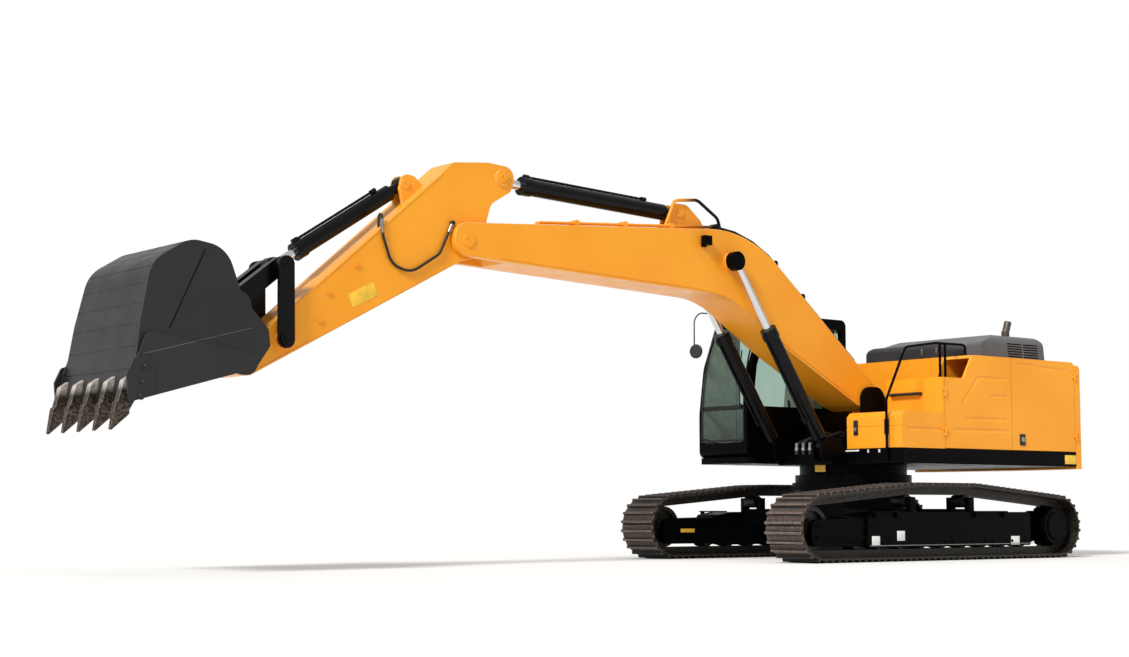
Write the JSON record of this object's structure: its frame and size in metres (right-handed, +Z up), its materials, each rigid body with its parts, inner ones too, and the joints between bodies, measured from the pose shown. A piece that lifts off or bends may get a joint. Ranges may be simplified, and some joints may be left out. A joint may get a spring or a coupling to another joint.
{
  "type": "crawler excavator",
  "caption": "Crawler excavator with a slewing upper body, side cab, box boom and arm, and a toothed digging bucket on a four-bar linkage.",
  "frame": {"origin": "middle of the machine's box on the ground, under the tracks", "axes": "+X forward, the way the bucket points; +Y the machine's left; +Z up"},
  "size_m": [14.1688, 3.25, 4.5292],
  "materials": {
    "yellow_paint": "gloss enamel, orange yellow",
    "black_paint": "satin black enamel",
    "track_steel": "worn and dusty steel",
    "hood_grey": "satin dark grey enamel",
    "bucket_steel": "satin charcoal paint",
    "chrome_rod": "hard chromed",
    "exhaust_steel": "heat stained",
    "cab_glass": "clear, green tinted",
    "seat_cloth": "pale dust cover",
    "black_rubber": "matt hose cover",
    "dark_plastic": "moulded"
  },
  "bodies": {
    "undercarriage": {"car_body": "black_paint", "swing_bearing": "black_paint", "left_track_frame": "black_paint", "right_track_frame": "black_paint", "left_track": "track_steel", "right_track": "track_steel", "idlers": "track_steel", "final_drives": "black_paint", "rollers": "track_steel"},
    "upper": {"upper_frame": "black_paint", "counterweight": "yellow_paint", "housing": "yellow_paint", "front_cover": "hood_grey", "engine": "black_paint", "tool_box": "yellow_paint", "hand_rails": "black_paint", "foot_hoses": "black_rubber", "cab_mirror": "black_paint", "cab_frame": "black_paint", "cab_glass": "cab_glass", "operator_seat": "seat_cloth", "cab_controls": "dark_plastic"},
    "hood": {"hood": "hood_grey", "exhaust": "exhaust_steel"},
    "cab_door": {"cab_door": "black_paint", "cab_door_glass": "cab_glass"},
    "left_front_door": {"left_front_door": "yellow_paint"},
    "left_rear_door": {"left_rear_door": "yellow_paint"},
    "right_front_door": {"right_front_door": "yellow_paint"},
    "right_rear_door": {"right_rear_door": "yellow_paint"},
    "boom": {"boom_body": "yellow_paint", "boom_pipes": "black_paint", "boom_lamp": "black_paint"},
    "boom_cylinder_barrels": {"boom_cylinder_barrels": "black_paint"},
    "boom_cylinder_rods": {"boom_cylinder_rods": "chrome_rod"},
    "arm": {"arm_body": "yellow_paint", "arm_hose": "black_rubber"},
    "arm_cylinder_barrel": {"arm_cylinder_barrel": "black_paint"},
    "arm_cylinder_rod": {"arm_cylinder_rod": "chrome_rod"},
    "bucket_cylinder_barrel": {"bucket_cylinder_barrel": "black_paint"},
    "bucket_cylinder_rod": {"bucket_cylinder_rod": "chrome_rod"},
    "guide_links": {"guide_links": "black_paint"},
    "bucket_link": {"bucket_link": "black_paint"},
    "bucket": {"bucket_shell": "bucket_steel", "bucket_teeth": "track_steel"}
  },
  "joints": [
    {"name": "swing", "type": "hinge", "parent": "undercarriage", "child": "upper", "pos_m": [-3.795, 0, 1.2], "axis": [0, 0, 1], "continuous": true},
    {"name": "boom_lift", "type": "hinge", "parent": "upper", "child": "boom", "pos_m": [-3.775, 0, 2.04], "axis": [0, -1, 0], "range_deg": [-46, 40]},
    {"name": "boom_cylinder_tilt", "type": "hinge", "parent": "upper", "child": "boom_cylinder_barrels", "pos_m": [-2.795, 0, 1.44], "axis": [0, -1, 0], "range_deg": [-48.66, 42.31]},
    {"name": "boom_cylinder_stroke", "type": "slide", "parent": "boom_cylinder_barrels", "child": "boom_cylinder_rods", "axis": [0.5564, 0, 0.8309], "range_m": [-0.8199, 0.7131]},
    {"name": "arm_reach", "type": "hinge", "parent": "boom", "child": "arm", "pos_m": [2.655, 0, 3.608], "axis": [0, 1, 0], "range_deg": [-4, 108]},
    {"name": "arm_cylinder_tilt", "type": "hinge", "parent": "boom", "child": "arm_cylinder_barrel", "pos_m": [-0.665, 0, 4.25], "axis": [0, 1, 0], "range_deg": [-0.29, 7.93]},
    {"name": "arm_cylinder_stroke", "type": "slide", "parent": "arm_cylinder_barrel", "child": "arm_cylinder_rod", "axis": [0.999, 0, 0.0446], "range_m": [-0.0548, 1.4544]},
    {"name": "bucket_curl", "type": "hinge", "parent": "arm", "child": "bucket", "pos_m": [5.405, 0, 2.14], "axis": [0, 1, 0], "range_deg": [-5, 155]},
    {"name": "guide_turn", "type": "hinge", "parent": "arm", "child": "guide_links", "pos_m": [4.959, 0, 2.378], "axis": [0, 1, 0], "range_deg": [-3.34, 103.53]},
    {"name": "link_turn", "type": "hinge", "parent": "guide_links", "child": "bucket_link", "pos_m": [4.97, 0, 3.155], "axis": [0, 1, 0], "range_deg": [-38.4, 1.24]},
    {"name": "bucket_cylinder_tilt", "type": "hinge", "parent": "arm", "child": "bucket_cylinder_barrel", "pos_m": [3.365, 0, 4.19], "axis": [0, 1, 0], "range_deg": [-0.24, 7.37]},
    {"name": "bucket_cylinder_stroke", "type": "slide", "parent": "bucket_cylinder_barrel", "child": "bucket_cylinder_rod", "axis": [0.8404, 0, -0.5419], "range_m": [-0.0393, 1.1884]},
    {"name": "cab_door_swing", "type": "hinge", "parent": "upper", "child": "cab_door", "pos_m": [-4.125, -1.462, 2.2], "axis": [0, 0, -1], "range_deg": [0, 90]},
    {"name": "left_front_door_swing", "type": "hinge", "parent": "upper", "child": "left_front_door", "pos_m": [-3.969, 1.442, 2], "axis": [0, 0, -1], "range_deg": [0, 90]},
    {"name": "left_rear_door_swing", "type": "hinge", "parent": "upper", "child": "left_rear_door", "pos_m": [-6.639, 1.442, 2], "axis": [0, 0, 1], "range_deg": [0, 90]},
    {"name": "right_front_door_swing", "type": "hinge", "parent": "upper", "child": "right_front_door", "pos_m": [-4.349, -1.442, 2], "axis": [0, 0, 1], "range_deg": [0, 90]},
    {"name": "right_rear_door_swing", "type": "hinge", "parent": "upper", "child": "right_rear_door", "pos_m": [-6.639, -1.442, 2], "axis": [0, 0, -1], "range_deg": [0, 90]},
    {"name": "hood_lift", "type": "hinge", "parent": "upper", "child": "hood", "pos_m": [-6.641, 0, 2.638], "axis": [0, -1, 0], "range_deg": [0, 55]}
  ],
  "couplings": [
    {"joint": "boom_cylinder_tilt", "follows": "boom_lift", "ratio": 1.037},
    {"joint": "boom_cylinder_stroke", "follows": "boom_lift", "m_per_rad": 1},
    {"joint": "arm_cylinder_tilt", "follows": "arm_reach", "ratio": 0.07198},
    {"joint": "arm_cylinder_stroke", "follows": "arm_reach", "m_per_rad": 0.75592},
    {"joint": "guide_turn", "follows": "bucket_curl", "ratio": 0.65483},
    {"joint": "link_turn", "follows": "bucket_curl", "ratio": -0.24286},
    {"joint": "bucket_cylinder_tilt", "follows": "bucket_curl", "ratio": 0.04663},
    {"joint": "bucket_cylinder_stroke", "follows": "bucket_curl", "m_per_rad": 0.43031}
  ]
}
